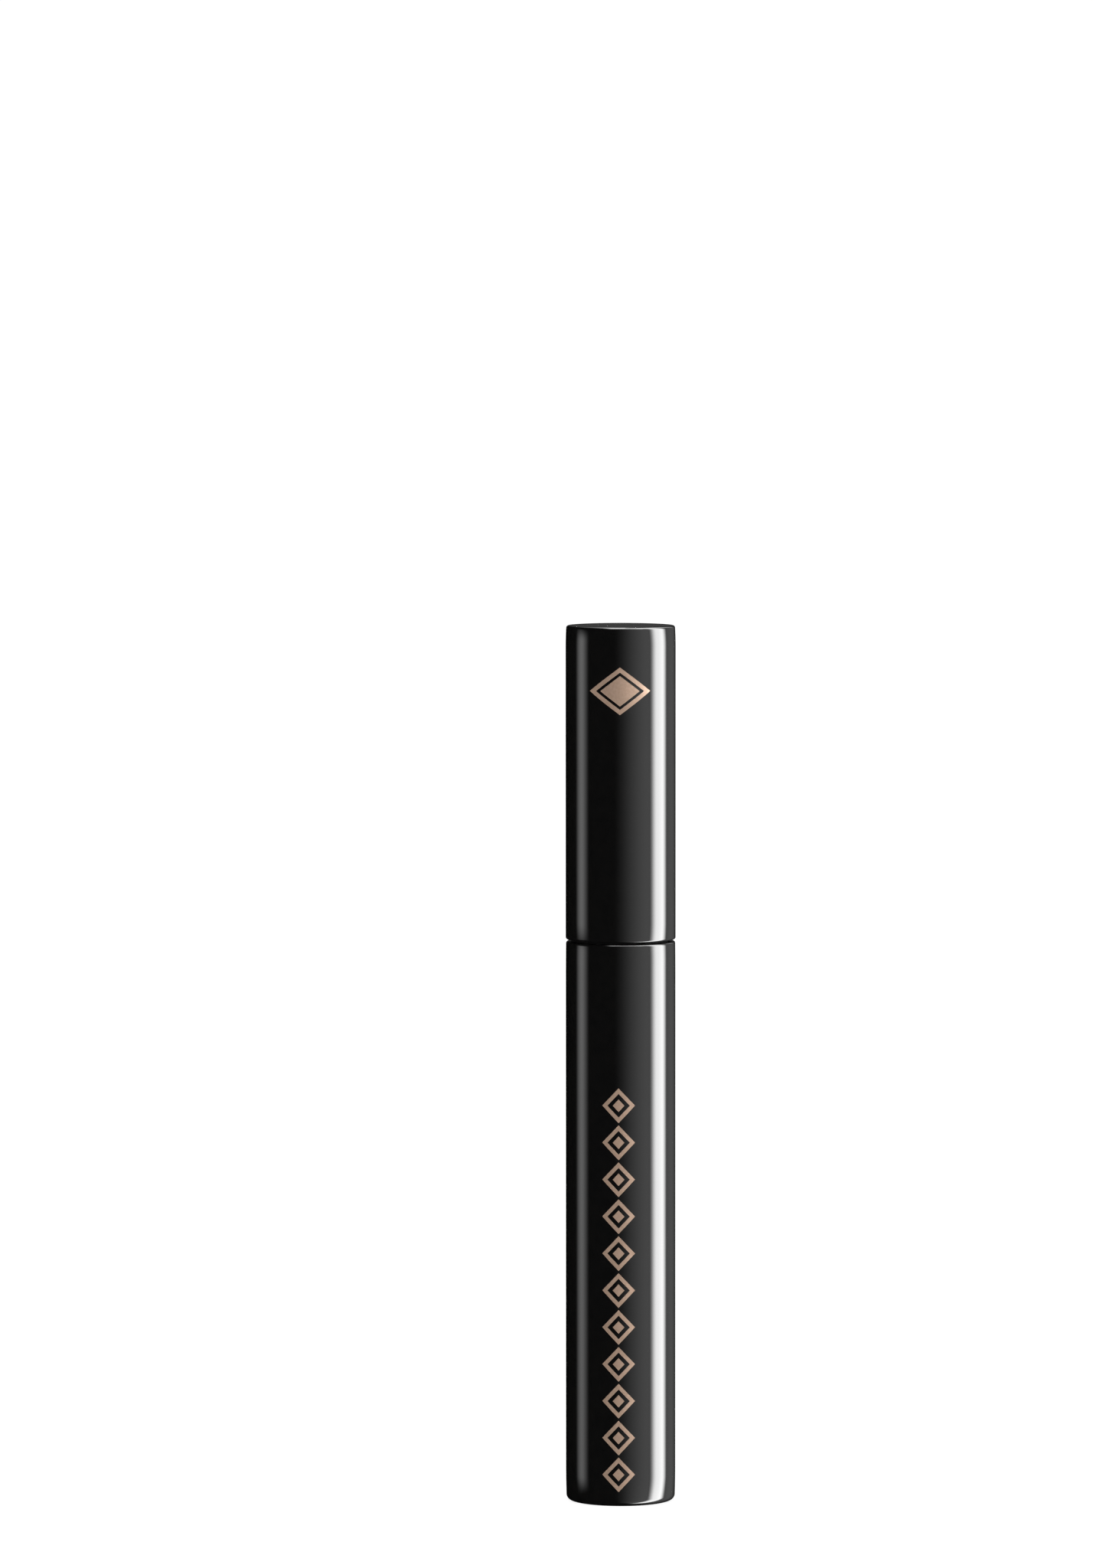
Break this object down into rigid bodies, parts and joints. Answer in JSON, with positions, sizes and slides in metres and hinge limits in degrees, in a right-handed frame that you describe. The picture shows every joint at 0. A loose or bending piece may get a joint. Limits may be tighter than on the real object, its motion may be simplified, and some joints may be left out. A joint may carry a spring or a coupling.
{
  "type": "mascara tube",
  "caption": "Slim round gloss black mascara: a bottle with a threaded neck and wiper, and a long screw cap that carries a rod with a moulded bristle brush.",
  "frame": {"origin": "centre of the foot ring that the bottle stands on", "axes": "+Z along the tube's axis from the base to the cap's flat end; -Y is the decorated front"},
  "size_m": [0.016, 0.016, 0.1278],
  "materials": {
    "gloss_black": "high gloss black lacquer",
    "satin_black": "satin black moulded plastic",
    "wiper_grey": "soft translucent dark elastomer",
    "washer_foam": "off-white foam liner",
    "rod_black": "polished black plastic",
    "brush_black": "semi-matt black elastomer",
    "rose_foil": "rose beige hot-stamped ornament"
  },
  "bodies": {
    "bottle": {"bottle_sleeve": "gloss_black", "inner_vial": "satin_black", "neck_collar": "satin_black", "wiper": "wiper_grey"},
    "washer": {"sealing_washer": "washer_foam"},
    "rod": {"rod": "rod_black"},
    "applicator": {"outer_cap": "gloss_black", "cap_insert": "satin_black", "brush": "brush_black"}
  },
  "joints": [
    {"name": "applicator_pull", "type": "slide", "parent": "bottle", "child": "washer", "axis": [0, 0, 1], "range_m": [0, 0.0865], "deforming": ["wiper"]},
    {"name": "thread_rise", "type": "slide", "parent": "washer", "child": "rod", "axis": [0, 0, 1], "range_m": [0, 0.0025]},
    {"name": "cap_turn", "type": "hinge", "parent": "rod", "child": "applicator", "pos_m": [0, 0, 0.0868], "axis": [0, 0, 1], "range_deg": [0, 450]}
  ],
  "couplings": [
    {"joint": "thread_rise", "follows": "cap_turn", "m_per_rad": 0.00031831}
  ]
}
